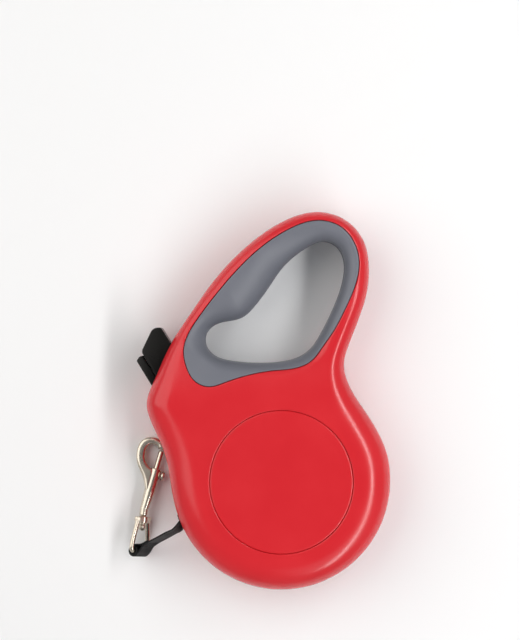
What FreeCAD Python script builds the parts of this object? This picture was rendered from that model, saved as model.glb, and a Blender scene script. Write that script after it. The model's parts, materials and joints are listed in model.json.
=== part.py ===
"""Retractable lead for small and medium dogs: round reel casing with a closed loop handle.

Frame, in millimetres: the casing lies on its back side. The origin is the reel's axis on that
rest plane, +Z is the thickness (up), +Y runs from the reel to the top of the handle and +X
completes the frame.
"""
import FreeCAD
import Part
import math
import os
import Sketcher
from FreeCAD import Placement
from FreeCAD import Rotation
from FreeCAD import Vector

doc = FreeCAD.newDocument("retractable_lead")

# ---------------------------------------------------------------- driving dimensions
DIMS = [
    # casing
    ("casing_rad", 49.5),
    ("thickness", 34.0),
    ("midplane", 17.0),
    ("handle_half", 13.0),
    ("edge_round", 9.0),
    ("wall_side", 2.2),
    ("cavity_half", 13.8),
    ("cavity_half_handle", 9.6),
    ("cavity_round", 6.5),
    ("step_y_low", 34.0),
    ("step_y_high", 50.0),
    ("grip_skin", 2.0),
    ("grip_round", 2.4),
    # caps
    ("recess_rad", 32.3),
    ("cap_rad", 32.2),
    ("cap_back_lo", 0.05),
    ("cap_back_hi", 1.4),
    ("cap_front_lo", 32.1),
    ("cap_front_hi", 33.5),
    # axle and screws
    ("axle_rad", 3.0),
    ("axle_lo", 3.2),
    ("axle_hi", 30.8),
    ("axle_bore_rad", 1.25),
    ("axle_bore_len", 9.0),
    ("screw_rad", 1.1),
    ("screw_head_rad", 2.1),
    ("screw_head_len", 1.2),
    ("boss_rad", 2.4),
    # reel
    ("reel_bore", 3.06),
    ("drum_rad", 13.0),
    ("drum_z_lo", 11.6),
    ("drum_z_hi", 22.4),
    ("back_flange_rad", 39.0),
    ("back_flange_lo", 10.2),
    ("cup_rad", 27.0),
    ("cup_inner_rad", 25.0),
    ("cup_lo", 4.7),
    ("ratchet_root", 39.5),
    ("ratchet_tip", 42.5),
    ("ratchet_thick", 2.4),
    ("ratchet_lo", 22.4),
    ("ratchet_hi", 24.8),
    ("ratchet_teeth", 24),
    ("hub_rad", 6.0),
    ("hub_hi", 30.2),
    ("cover_lo", 3.95),
    ("cover_hi", 4.7),
    ("washer_rad", 6.5),
    ("washer_lo_a", 3.3),
    ("washer_hi_a", 3.8),
    ("washer_lo_b", 30.25),
    ("washer_hi_b", 30.75),
    ("washer_bore", 3.06),
    # wound tape
    ("tape_wide", 10.0),
    ("tape_thick", 0.7),
    ("tape_lo", 12.0),
    ("tape_hi", 22.0),
    ("wind_inner", 13.05),
    ("wind_outer", 35.8),
    ("anchor_rad", 1.2),
    ("anchor_at", 10.9),
    # brake, in its own frame: u runs inwards along the button's travel, v across
    ("brake_turn", -58.33),
    ("brake_travel", 5.0),
    ("button_lo", 10.0),
    ("button_high", 14.0),
    ("slide_lo", 11.0),
    ("slide_high", 12.0),
    ("slide_v_out", -22.0),
    ("slide_v_in", -12.0),
    ("slide_u_end", -46.8),
    ("pawl_u_tip", -41.8),
    ("pawl_v_a", -18.3),
    ("pawl_v_b", -15.7),
    ("spring_bore", 3.4),
    ("spring_rad", 2.7),
    ("spring_wire", 0.3),
    ("lock_u_pin", -62.0),
    ("lock_v_pin", -25.75),
    ("lock_pin_rad", 1.3),
    ("lock_high", 12.0),
    # lead and hook
    ("hook_turn", 6.5),
    ("hook_dip", 4.75),
    ("eye_roll", 60.0),
    ("eye_at_x", -65.5),
    ("eye_at_y", -34.0),
    ("eye_at_z", 7.0),
    ("eye_wire", 1.15),
    ("ball_at", 10.9),
    ("ball_rad", 1.95),
    ("hook_thick", 5.0),
    ("bolt_rad", 1.3),
    ("bolt_bore", 1.38),
    ("tube_lean", 10.0),
    ("tube_from_axis", -1.39),
    ("tube_rad", 2.6),
    ("bolt_travel", 6.0),
]
sheet = doc.addObject("Spreadsheet::Sheet", "dims")
for row, (alias, value) in enumerate(DIMS, start=1):
    sheet.set("A%d" % row, alias)
    sheet.set("B%d" % row, str(value))
    sheet.setAlias("B%d" % row, alias)
doc.recompute()

nodes = []


def size(alias):
    """A driving dimension from the sheet."""
    return float(sheet.get(alias))


def keep(obj, label):
    obj.Label = label
    nodes.append(obj)
    return obj


def feature(label, shape, place=None):
    obj = doc.addObject("Part::Feature", label)
    obj.Shape = shape
    if place is not None:
        obj.Placement = place
    return keep(obj, label)


def plane_of(body, role):
    for item in body.Origin.OriginFeatures:
        if item.Role == role:
            return item
    return None


def polygon_sketch(body, role, corners, name):
    """A closed polygon whose corners are pairs of sheet cells."""
    sketch = body.newObject("Sketcher::SketchObject", name)
    sketch.AttachmentSupport = [(plane_of(body, role), "")]
    sketch.MapMode = "FlatFace"
    pts = [Vector(size(a), size(b), 0) for a, b in corners]
    count = len(pts)
    for i in range(count):
        sketch.addGeometry(Part.LineSegment(pts[i], pts[(i + 1) % count]), False)
    for i in range(count):
        sketch.addConstraint(Sketcher.Constraint("Coincident", i, 2, (i + 1) % count, 1))
    for i, (a, b) in enumerate(corners):
        n = sketch.addConstraint(Sketcher.Constraint("DistanceX", -1, 1, i, 1, size(a)))
        sketch.setExpression("Constraints[%d]" % n, "dims.%s" % a)
        n = sketch.addConstraint(Sketcher.Constraint("DistanceY", -1, 1, i, 1, size(b)))
        sketch.setExpression("Constraints[%d]" % n, "dims.%s" % b)
    return sketch


def turned(label, corners):
    """A round piece: (radius, height) corners revolved about the Z axis."""
    body = doc.addObject("PartDesign::Body", label)
    sketch = polygon_sketch(body, "XZ_Plane", corners, label + "_profile")
    rev = body.newObject("PartDesign::Revolution", label + "_turn")
    rev.Profile = sketch
    rev.ReferenceAxis = (sketch, ["V_Axis"])
    rev.Angle = 360.0
    return keep(body, label)


def cylinder(name, rad, low, high, x=0.0, y=0.0):
    """A plain solid cylinder for use inside booleans."""
    return Part.makeCylinder(rad, high - low, Vector(x, y, low))


def spline_wire(points):
    curve = Part.BSplineCurve()
    curve.interpolate(Points=points, PeriodicFlag=True)
    return Part.Wire(curve.toShape())


def pushed(wire, distance, count):
    """The closed curve a given distance outside (or, if negative, inside) a wire."""
    edge = wire.Edges[0]
    first, last = edge.ParameterRange
    out = []
    for i in range(count):
        at = first + (last - first) * i / count
        p = edge.valueAt(at)
        d = edge.tangentAt(at)
        out.append(Vector(p.x + d.y * distance, p.y - d.x * distance, 0))
    return spline_wire(out)


def prism(wire, low, high):
    solid = Part.Face(wire).extrude(Vector(0, 0, high - low))
    solid.translate(Vector(0, 0, low))
    return solid


def level_edges(solid):
    return [e for e in solid.Edges if e.BoundBox.ZLength < 0.001]


def side_profile(half_low, half_high):
    """The casing seen from the side, thick at the reel and thinner at the handle."""
    mid = size("midplane")
    ya = size("step_y_low")
    yb = size("step_y_high")
    yc = (ya + yb) / 2
    up = Part.BezierCurve()
    up.setPoles([Vector(-100, ya, mid + half_low), Vector(-100, yc, mid + half_low),
                 Vector(-100, yc, mid + half_high), Vector(-100, yb, mid + half_high)])
    low = Part.BezierCurve()
    low.setPoles([Vector(-100, yb, mid - half_high), Vector(-100, yc, mid - half_high),
                  Vector(-100, yc, mid - half_low), Vector(-100, ya, mid - half_low)])
    ends = [Vector(-100, yb, mid + half_high), Vector(-100, 140, mid + half_high),
            Vector(-100, 140, mid - half_high), Vector(-100, yb, mid - half_high)]
    back = [Vector(-100, ya, mid - half_low), Vector(-100, -80, mid - half_low),
            Vector(-100, -80, mid + half_low), Vector(-100, ya, mid + half_low)]
    edges = [up.toShape()]
    edges += [Part.makeLine(ends[i], ends[i + 1]) for i in range(3)]
    edges += [low.toShape()]
    edges += [Part.makeLine(back[i], back[i + 1]) for i in range(3)]
    return Part.Face(Part.Wire(edges)).extrude(Vector(200, 0, 0))


# ---------------------------------------------------------------- casing outlines
casing_rad = size("casing_rad")
mid = size("midplane")
OUTER = [(44.9, 20.0), (38.6, 30.6), (31.6, 41.6), (28.6, 53.0), (31.0, 62.0), (35.8, 74.5),
         (39.2, 86.5), (39.9, 96.5), (38.0, 107.4), (30.5, 117.2), (17.1, 121.8), (2.7, 118.4),
         (-14.2, 107.4), (-28.8, 92.8), (-42.0, 74.5), (-51.2, 59.9), (-57.6, 45.2),
         (-61.0, 34.5), (-59.0, 26.5), (-54.9, 17.5), (-51.6, 7.5), (-49.9, -3.0)]
HOLE = [(19.1, 108.6), (12.2, 106.0), (6.3, 101.9), (1.6, 97.5), (-5.3, 87.9), (-12.3, 78.6),
        (-17.0, 74.2), (-21.7, 72.5), (-26.9, 71.6), (-31.0, 69.8), (-33.6, 66.9),
        (-34.4, 62.5), (-31.5, 57.2), (-23.0, 54.0), (-10.0, 53.0), (2.0, 53.9), (8.7, 56.0),
        (13.3, 59.3), (16.9, 64.2), (20.3, 70.4), (23.8, 77.7), (26.7, 85.0), (28.6, 92.3),
        (29.0, 97.5), (27.6, 103.3), (24.2, 107.2)]
GRIP = [(17.1, 117.6), (3.7, 113.8), (-7.8, 106.5), (-19.7, 95.5), (-29.2, 84.5),
        (-37.5, 73.6), (-42.0, 66.3), (-44.0, 59.0), (-42.7, 51.6), (-38.4, 44.9),
        (-32.5, 42.8), (-25.5, 44.6), (-15.0, 47.9), (-4.0, 49.9), (5.5, 50.9), (13.5, 54.3),
        (18.6, 60.6), (22.9, 66.7), (28.8, 77.7), (33.4, 88.7), (35.0, 99.6), (33.1, 107.0),
        (27.4, 114.3)]
outline = [Vector(x, y, 0) for x, y in OUTER]
for degrees in list(range(196, 366, 14)) + [374]:
    a = math.radians(degrees)
    outline.append(Vector(casing_rad * math.cos(a), casing_rad * math.sin(a), 0))
outer_wire = spline_wire(outline)
hole_wire = spline_wire([Vector(x, y, 0) for x, y in HOLE])
grip_wire = spline_wire([Vector(x, y, 0) for x, y in GRIP])

block = prism(outer_wire, 0.0, size("thickness"))
block = block.makeFillet(size("edge_round"), level_edges(block))
block = block.common(side_profile(mid, size("handle_half")))
block = block.cut(prism(hole_wire, -1.0, 40.0))
rim = [e for e in level_edges(block) if e.BoundBox.YMin > 52.0 and e.BoundBox.YMax < 109.5]
block = block.makeChamfer(size("grip_round"), rim)

# soft grip: a skin over the handle's inner side
skin = size("grip_skin")
grip_zone = prism(grip_wire, -1.0, 40.0)
hole_out = pushed(hole_wire, skin, 60)
if Part.Face(hole_out).Area < Part.Face(hole_wire).Area:
    hole_out = pushed(hole_wire, -skin, 60)
core_half = size("handle_half") - skin
core = prism(grip_wire, mid - core_half, mid + core_half)
core = core.cut(prism(hole_out, -1.0, 40.0))
grip_solid = block.common(grip_zone).cut(core)
red = block.cut(grip_solid)

# inner hollow, one even wall in from the outline
inner_wire = pushed(outer_wire, -size("wall_side"), 90)
if Part.Face(inner_wire).Area > Part.Face(outer_wire).Area:
    inner_wire = pushed(outer_wire, size("wall_side"), 90)
half = size("cavity_half")
hollow = prism(inner_wire, mid - half, mid + half)
hollow = hollow.makeFillet(size("cavity_round"), level_edges(hollow))
hollow = hollow.common(side_profile(half, size("cavity_half_handle")))
hole_far = pushed(hole_wire, skin + 2.2, 60)
if Part.Face(hole_far).Area < Part.Face(hole_wire).Area:
    hole_far = pushed(hole_wire, -skin - 2.2, 60)
hollow = hollow.cut(prism(hole_far, -1.0, 40.0))

# ---------------------------------------------------------------- casing features
turn = size("brake_turn")
brake_place = Placement(Vector(0, 0, 0), Rotation(Vector(0, 0, 1), turn))


def in_brake(shape):
    """Moves a shape drawn in the brake's u, v frame into the casing's frame."""
    out = shape.copy()
    out.Placement = brake_place
    return out


def slab(points, low, high):
    """A straight-sided block over a polygon."""
    pts = [Vector(x, y, low) for x, y in points]
    pts.append(pts[0])
    return Part.Face(Part.makePolygon(pts)).extrude(Vector(0, 0, high - low))


def across(u, v):
    """A point of the brake's frame in the casing's frame."""
    return brake_place.multVec(Vector(u, v, 0))


# tape way out: straight line from the winding to the mouth
way = Vector(-0.344, -0.939, 0)
side = Vector(-0.939, 0.344, 0)
reach = size("wind_outer") + 0.3 + size("tape_thick") / 2
start = side * reach
mouth = start + way * 35.0
way_turn = math.degrees(math.atan2(way.y, way.x))


def along_way(low_s, high_s, half_thick, low, high):
    """A box running along the tape's way out."""
    box = Part.makeBox(high_s - low_s, 2 * half_thick, high - low, Vector(low_s, -half_thick, low))
    box.Placement = Placement(start, Rotation(Vector(0, 0, 1), way_turn))
    return box


# screw bosses, ribs that guide the slide, and the post its spring pushes on, left standing
SCREWS = [(24.0, 49.0), (-53.0, 26.5), (18.0, 116.1), (31.9, -31.9), (-31.9, -31.9)]
for x, y in SCREWS:
    hollow = hollow.cut(cylinder("boss", size("boss_rad"), -1.0, 40.0, x, y))
RIBS = [
    slab([(-51.3, -23.9), (-44.5, -23.9), (-44.5, -22.3), (-51.3, -22.3)], -1.0, 40.0),
    slab([(-66, -11.7), (-44.5, -11.7), (-44.5, -10.2), (-66, -10.2)], -1.0, 40.0),
    slab([(-41.4, -20.0), (-39.9, -20.0), (-39.9, -15.0), (-41.4, -15.0)], -1.0, 17.0),
]
for rib in RIBS:
    hollow = hollow.cut(in_brake(rib))
red = red.cut(hollow)
red = red.cut(along_way(20.0, 45.0, 2.4, 10.2, 23.8))

# opening for the button and the lock, with clearance for their travel
opening = in_brake(slab([(-95, -9.5), (-71.0, -9.5), (-60.6, -23.8), (-60.6, -30.2),
                         (-95, -30.2)], 9.6, 24.4))
red = red.cut(opening)

# pins of the lock lever
pin_at = across(size("lock_u_pin"), size("lock_v_pin"))
red = red.cut(cylinder("pin hole", size("lock_pin_rad"), 2.0, 32.0, pin_at.x, pin_at.y))

# recesses for the side caps, screw holes
recess = size("recess_rad")
red = red.cut(cylinder("recess", recess, -1.0, size("cap_back_hi")))
red = red.cut(cylinder("recess", recess, size("cap_front_lo"), 36.0))
red = red.cut(cylinder("axle screw", 1.3, -1.0, 5.0))
red = red.cut(cylinder("axle screw head", 2.7, -1.0, 2.4))
SEATS = [5.5, 2.2, 6.2, 2.6, 2.6]
LENGTHS = [19.0, 22.0, 16.5, 22.0, 22.0]
head_rad = size("screw_head_rad")
for (x, y), seat, length in zip(SCREWS, SEATS, LENGTHS):
    red = red.cut(cylinder("screw", size("screw_rad") + 0.1, -1.0, seat + length + 0.5, x, y))
    red = red.cut(cylinder("screw head", head_rad + 0.1, -1.0, seat, x, y))
handle_x, handle_y = SCREWS[2]
grip_solid = grip_solid.cut(cylinder("screw", head_rad + 0.2, -1.0, 12.0, handle_x, handle_y))

lower = Part.makeBox(300, 300, mid + 50, Vector(-150, -120, -50))
post = in_brake(slab([(-41.4, -20.0), (-39.9, -20.0), (-39.9, -15.0), (-41.4, -15.0)], 8.0, 20.0))
shell_back = feature("shell_back", red.common(lower).fuse(post).removeSplitter())
shell_front = feature("shell_front", red.cut(lower))
grip_back = feature("grip_back", grip_solid.common(lower))
grip_front = feature("grip_front", grip_solid.cut(lower))

# ---------------------------------------------------------------- caps, screws, axle
for label, low, high in (("cap_back", "cap_back_lo", "cap_back_hi"),
                         ("cap_front", "cap_front_lo", "cap_front_hi")):
    cap = doc.addObject("Part::Cylinder", label)
    cap.setExpression("Radius", "dims.cap_rad")
    cap.setExpression("Height", "dims.%s - dims.%s" % (high, low))
    cap.setExpression("Placement.Base.z", "dims.%s" % low)
    keep(cap, label)

screws = []
for (x, y), seat, length in zip(SCREWS, SEATS, LENGTHS):
    shank = cylinder("shank", size("screw_rad"), seat - 0.1, seat + length, x, y)
    head = cylinder("head", head_rad, seat - size("screw_head_len"), seat, x, y)
    slot = Part.makeBox(2 * head_rad, 0.5, 1.0, Vector(x - head_rad, y - 0.25, seat - 1.9))
    cross = Part.makeBox(0.5, 2 * head_rad, 1.0, Vector(x - 0.25, y - head_rad, seat - 1.9))
    screws.append(shank.fuse(head).cut(slot).cut(cross).removeSplitter())
feature("case_screws", Part.makeCompound(screws))

axle_round = doc.addObject("Part::Cylinder", "axle_round")
axle_round.setExpression("Radius", "dims.axle_rad")
axle_round.setExpression("Height", "dims.axle_hi - dims.axle_lo")
axle_round.setExpression("Placement.Base.z", "dims.axle_lo")
axle_bore = doc.addObject("Part::Cylinder", "axle_bore")
axle_bore.setExpression("Radius", "dims.axle_bore_rad")
axle_bore.setExpression("Height", "dims.axle_bore_len")
axle_bore.setExpression("Placement.Base.z", "dims.axle_lo - 1")
axle = doc.addObject("Part::Cut", "axle")
axle.Base = axle_round
axle.Tool = axle_bore
keep(axle, "axle")

axle_head = doc.addObject("Part::Cylinder", "axle_screw_head")
axle_head.setExpression("Radius", "dims.screw_head_rad + 0.4")
axle_head.Height = 0.85
axle_head.Placement.Base = Vector(0, 0, 1.5)
axle_shank = doc.addObject("Part::Cylinder", "axle_screw_shank")
axle_shank.setExpression("Radius", "dims.axle_bore_rad - 0.03")
axle_shank.Height = 7.5
axle_shank.Placement.Base = Vector(0, 0, 2.3)
axle_screw = doc.addObject("Part::Fuse", "axle_screw")
axle_screw.Base = axle_head
axle_screw.Tool = axle_shank
keep(axle_screw, "axle_screw")

# liner of the tape's mouth
liner = along_way(28.0, 38.5, 2.35, 10.25, 23.75)
liner = liner.cut(along_way(20.0, 45.0, 1.25, 11.3, 22.7))
liner = liner.common(cylinder("rim", casing_rad + 0.5, 0.0, 34.0))
feature("outlet_liner", liner)

# ---------------------------------------------------------------- reel
turned("drum_body", [("reel_bore", "back_flange_lo"), ("cup_inner_rad", "back_flange_lo"),
                     ("cup_inner_rad", "cup_lo"), ("cup_rad", "cup_lo"),
                     ("cup_rad", "back_flange_lo"), ("back_flange_rad", "back_flange_lo"),
                     ("back_flange_rad", "drum_z_lo"), ("drum_rad", "drum_z_lo"),
                     ("drum_rad", "drum_z_hi"), ("reel_bore", "drum_z_hi")])
drum_body = nodes.pop()
drum_body.Label = "drum_body"
pin_hole = doc.addObject("Part::Cylinder", "drum_pin_hole")
pin_hole.setExpression("Radius", "dims.anchor_rad + 0.03")
pin_hole.setExpression("Height", "dims.drum_z_hi - dims.drum_z_lo + 1")
pin_hole.setExpression("Placement.Base.x", "dims.anchor_at")
pin_hole.setExpression("Placement.Base.z", "dims.drum_z_lo")
drum = doc.addObject("Part::Cut", "reel_drum")
drum.Base = drum_body
drum.Tool = pin_hole
keep(drum, "reel_drum")

ratchet = doc.addObject("PartDesign::Body", "ratchet_flange")
root = ratchet.newObject("Sketcher::SketchObject", "ratchet_root_sketch")
root.AttachmentSupport = [(plane_of(ratchet, "XY_Plane"), "")]
root.MapMode = "FlatFace"
root.AttachmentOffset = Placement(Vector(0, 0, size("ratchet_lo")), Rotation())
root.setExpression("AttachmentOffset.Base.z", "dims.ratchet_lo")
for k, alias in enumerate(("ratchet_root", "reel_bore")):
    root.addGeometry(Part.Circle(Vector(0, 0, 0), Vector(0, 0, 1), size(alias)), False)
    root.addConstraint(Sketcher.Constraint("Coincident", k, 3, -1, 1))
    n = root.addConstraint(Sketcher.Constraint("Radius", k, size(alias)))
    root.setExpression("Constraints[%d]" % n, "dims.%s" % alias)
disc = ratchet.newObject("PartDesign::Pad", "ratchet_disc")
disc.Profile = root
disc.setExpression("Length", "dims.ratchet_thick")
tooth = ratchet.newObject("Sketcher::SketchObject", "ratchet_tooth_sketch")
tooth.AttachmentSupport = [(plane_of(ratchet, "XY_Plane"), "")]
tooth.MapMode = "FlatFace"
tooth.AttachmentOffset = Placement(Vector(0, 0, size("ratchet_lo")), Rotation())
tooth.setExpression("AttachmentOffset.Base.z", "dims.ratchet_lo")
gap_at = across(size("pawl_u_tip") + size("brake_travel") - 0.6, -17.0)
gap_angle = math.atan2(gap_at.y, gap_at.x)
pitch = 2 * math.pi / size("ratchet_teeth")
tooth_angle = gap_angle + pitch / 2
corners = []
for rad, wide in ((38.8, -2.6), (42.5, -1.6), (42.5, 1.6), (38.8, 2.6)):
    rad = rad if rad < 39 else size("ratchet_tip")
    corners.append(Vector(rad * math.cos(tooth_angle) - wide * math.sin(tooth_angle),
                          rad * math.sin(tooth_angle) + wide * math.cos(tooth_angle), 0))
for i in range(4):
    tooth.addGeometry(Part.LineSegment(corners[i], corners[(i + 1) % 4]), False)
for i in range(4):
    tooth.addConstraint(Sketcher.Constraint("Coincident", i, 2, (i + 1) % 4, 1))
lug = ratchet.newObject("PartDesign::Pad", "ratchet_tooth")
lug.Profile = tooth
lug.setExpression("Length", "dims.ratchet_thick")
ring = ratchet.newObject("PartDesign::PolarPattern", "ratchet_teeth_ring")
ring.Originals = [lug]
ring.Axis = (root, ["N_Axis"])
ring.Angle = 360.0
ring.Occurrences = int(size("ratchet_teeth"))
ratchet.Tip = ring
keep(ratchet, "ratchet_flange")

turned("reel_hub", [("reel_bore", "ratchet_hi"), ("hub_rad", "ratchet_hi"),
                    ("hub_rad", "hub_hi"), ("reel_bore", "hub_hi")])
turned("spring_cover", [("reel_bore", "cover_lo"), ("cup_rad", "cover_lo"),
                        ("cup_rad", "cover_hi"), ("reel_bore", "cover_hi")])
washers = []
for low, high in (("washer_lo_a", "washer_hi_a"), ("washer_lo_b", "washer_hi_b")):
    disc_one = cylinder("washer", size("washer_rad"), size(low), size(high))
    washers.append(disc_one.cut(cylinder("bore", size("washer_bore"), 0.0, 34.0)))
feature("reel_washers", Part.makeCompound(washers))
turned("tape_winding", [("wind_inner", "tape_lo"), ("wind_outer", "tape_lo"),
                        ("wind_outer", "tape_hi"), ("wind_inner", "tape_hi")])
anchor = doc.addObject("Part::Cylinder", "tape_anchor_pin")
anchor.setExpression("Radius", "dims.anchor_rad")
anchor.setExpression("Height", "dims.tape_wide")
anchor.setExpression("Placement.Base.x", "dims.anchor_at")
anchor.setExpression("Placement.Base.z", "dims.tape_lo")
keep(anchor, "tape_anchor_pin")

# flat spiral spring in the reel's cup
spiral_in = []
spiral_out = []
turns = 8.5
steps = int(turns * 20)
for i in range(steps + 1):
    a = 2 * math.pi * turns * i / steps
    rad = 3.5 + (24.3 - 3.5) * i / steps
    spiral_in.append((rad * math.cos(a), rad * math.sin(a)))
    spiral_out.append(((rad + 0.4) * math.cos(a), (rad + 0.4) * math.sin(a)))
feature("power_spring", slab(spiral_in + spiral_out[::-1], 4.95, 9.9))

# ---------------------------------------------------------------- brake and lock
slide = slab([(-74.7, -12.0), (-67.8, -22.0), (-46.8, -22.0), (-46.8, -12.0)], 11.0, 23.0)
for at in (-54.5, -59.5):
    slide = slide.cut(slab([(at - 1.9, -23.0), (at + 1.9, -23.0), (at + 1.9, -20.8),
                            (at - 1.9, -20.8)], 0.0, 40.0))
bore = Part.makeCylinder(size("spring_bore"), 30.0, Vector(-60.0, -17.0, mid), Vector(1, 0, 0))
feature("brake_slide", slide.cut(bore), brake_place)

finger = slab([(-52.0, -18.3), (-41.8, -18.3), (-41.8, -15.7), (-52.0, -15.7)], 23.0, 24.7)
tip = slab([(-46.75, -18.3), (-41.8, -18.3), (-41.8, -15.7), (-46.75, -15.7)], 22.5, 24.7)
feature("brake_pawl", finger.fuse(tip).removeSplitter(), brake_place)

button = slab([(-76.2, -9.9), (-66.8, -23.45), (-82.9, -23.45), (-85.5, -19.5), (-88.0, -15.6),
               (-88.9, -13.2), (-88.8, -11.3), (-87.6, -9.9)], 10.0, 24.0)
soft = [e for e in button.Edges if e.BoundBox.XMax < -76.0 and e.BoundBox.ZLength < 0.01]
button = button.makeChamfer(1.2, soft)
feature("brake_button", button, brake_place)


def coil(rad, wire, length, turns_count):
    """A coil spring along +Z from the origin, its wire drawn in short straight runs."""
    steps_round = 14
    total = int(turns_count * steps_round)
    wires = []
    for i in range(total + 1):
        a = 2 * math.pi * i / steps_round
        out = Vector(math.cos(a), math.sin(a), 0)
        mid_point = out * rad + Vector(0, 0, length * i / total)
        ring_pts = []
        for k in range(6):
            b = 2 * math.pi * k / 6
            ring_pts.append(mid_point + out * (wire * math.cos(b)) + Vector(0, 0, wire * math.sin(b)))
        wires.append(Part.makePolygon(ring_pts + [ring_pts[0]]))
    return Part.makeLoft(wires, True, True)


along_u = Rotation(Vector(0, 0, 1), Vector(1, 0, 0))
brake_spring = coil(size("spring_rad"), size("spring_wire"), 17.2, 8)
feature("brake_spring", brake_spring,
        brake_place.multiply(Placement(Vector(-59.3, -17.0, mid), along_u)))

lever = slab([(-81.2, -23.75), (-81.6, -25.3), (-80.6, -27.5), (-64.0, -27.6), (-60.0, -27.3),
              (-52.9, -26.6), (-52.9, -22.4), (-55.1, -22.4), (-55.6, -24.2), (-60.0, -23.75)],
             11.0, 23.0)
lever = lever.cut(cylinder("pivot", size("lock_pin_rad") + 0.06, 0.0, 40.0,
                           size("lock_u_pin"), size("lock_v_pin")))
feature("lock_lever", lever, brake_place)
feature("lock_pin", cylinder("pin", size("lock_pin_rad") - 0.03, 2.6, 31.4, pin_at.x, pin_at.y))

# ---------------------------------------------------------------- lead, eye and hook
lean = math.radians(size("hook_turn"))
dip = math.radians(size("hook_dip"))
roll = math.radians(size("eye_roll"))
eye_at = Vector(size("eye_at_x"), size("eye_at_y"), size("eye_at_z"))
shank = Vector(math.sin(lean) * math.cos(dip), math.cos(lean) * math.cos(dip), -math.sin(dip))
right = Vector(math.cos(lean), -math.sin(lean), 0)
upward = right.cross(shank)
bar = right * math.cos(roll) - upward * math.sin(roll)


def framed(at, x_axis, y_axis):
    z_axis = x_axis.cross(y_axis)
    return Placement(at, Rotation(x_axis, y_axis, z_axis, "ZXY"))


eye_place = framed(eye_at, bar, shank)
ball_at = eye_at + shank * size("ball_at")
hook_place = framed(ball_at, right, shank)

# tape: straight run from the winding to the mouth, sewn double outside, loop round the bar
inside_run = along_way(0.0, 35.0, size("tape_thick") / 2, size("tape_lo"), size("tape_hi"))
run = mouth + Vector(0, 0, mid)
to_eye = eye_at - run
end = eye_at - to_eye * (2.4 / to_eye.Length)
ahead = Vector(to_eye)
ahead.normalize()
wide = bar * -1
flat = ahead.cross(wide)
flat.normalize()


def tape_section(at, thick_dir, wide_dir, half_thick):
    half_wide = size("tape_wide") / 2
    pts = [at + thick_dir * half_thick + wide_dir * half_wide,
           at - thick_dir * half_thick + wide_dir * half_wide,
           at - thick_dir * half_thick - wide_dir * half_wide,
           at + thick_dir * half_thick - wide_dir * half_wide]
    return Part.makePolygon(pts + [pts[0]])


level = Vector(to_eye.x, to_eye.y, 0)
level.normalize()
cross_dir = Vector(-level.y, level.x, 0)
if cross_dir.dot(flat) < 0:
    flat = flat * -1
outside_run = Part.makeLoft([
    tape_section(run - level * 0.2, cross_dir, Vector(0, 0, 1), 0.35),
    tape_section(run + to_eye * 0.3, cross_dir, Vector(0, 0, 1), 0.75),
    tape_section(end, flat, wide, 0.75)], True, True)
half_wide = size("tape_wide") / 2
loop = Part.makeCylinder(3.2, 2 * half_wide, eye_at - bar * half_wide, bar)
loop = loop.cut(Part.makeCylinder(1.5, 12.0, eye_at - bar * 6.0, bar))
feature("lead_tape", inside_run.fuse(outside_run).fuse(loop).removeSplitter())

wire_rad = size("eye_wire")


def rod(a, b, rad):
    return Part.makeCylinder(rad, (b - a).Length, a, b - a)


eye = rod(Vector(-6.5, 0, 0), Vector(6.5, 0, 0), wire_rad)
for sign in (-1, 1):
    eye = eye.fuse(Part.makeSphere(wire_rad, Vector(6.5 * sign, 0, 0)))
    eye = eye.fuse(rod(Vector(6.5 * sign, 0, 0), Vector(6.5 * sign, 4.0, 0), wire_rad))
    eye = eye.fuse(Part.makeSphere(wire_rad, Vector(6.5 * sign, 4.0, 0)))
    eye = eye.fuse(rod(Vector(6.5 * sign, 4.0, 0), Vector(3.9 * sign, 14.2, 0), wire_rad))
top_bar = Part.makeBox(9.6, 2.9, 3.4, Vector(-4.8, 12.95, -1.7))
top_bar = top_bar.makeFillet(0.6, top_bar.Edges)
eye = eye.fuse(top_bar)
eye = eye.cut(rod(Vector(0, 9.5, 0), Vector(0, 20, 0), 1.28))
feature("swivel_eye", eye.removeSplitter(), eye_place)

# hook: a ring beside the tube that holds the spring bolt, the tube leaning over the barrel
tube_turn = math.radians(size("tube_lean"))
tube_way = Vector(math.sin(tube_turn), math.cos(tube_turn), 0)
tube_out = Vector(math.cos(tube_turn), -math.sin(tube_turn), 0)
tube_from = Vector(size("tube_from_axis"), 0, 0)
tube_place = hook_place.multiply(framed(tube_from, tube_out, tube_way))
ring_points = [(-0.9, 17.5), (-1.0, 20.5), (-3.1, 24.7), (-5.2, 28.0), (-6.2, 31.0), (-6.5, 34.0),
               (-6.1, 37.1), (-4.9, 39.6), (-2.7, 41.3), (0.2, 41.9), (2.9, 41.4), (4.9, 40.1),
               (6.3, 38.2), (6.69, 36.09), (3.35, 36.69), (3.0, 37.7), (1.9, 38.4), (0.5, 38.6),
               (-0.9, 38.0), (-1.9, 36.6), (-2.35, 34.6), (-2.3, 32.4), (-1.6, 30.3),
               (-0.4, 28.6), (1.0, 27.6), (2.4, 27.2), (2.4, 24.0), (1.2, 17.5)]
half_thick = size("hook_thick") / 2
hook = slab(ring_points, -half_thick, half_thick)
hook = hook.makeChamfer(0.7, [e for e in level_edges(hook) if e.Length > 0.5])


def tube_rod(low_s, high_s, rad):
    return rod(tube_from + tube_way * low_s, tube_from + tube_way * high_s, rad)


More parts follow.
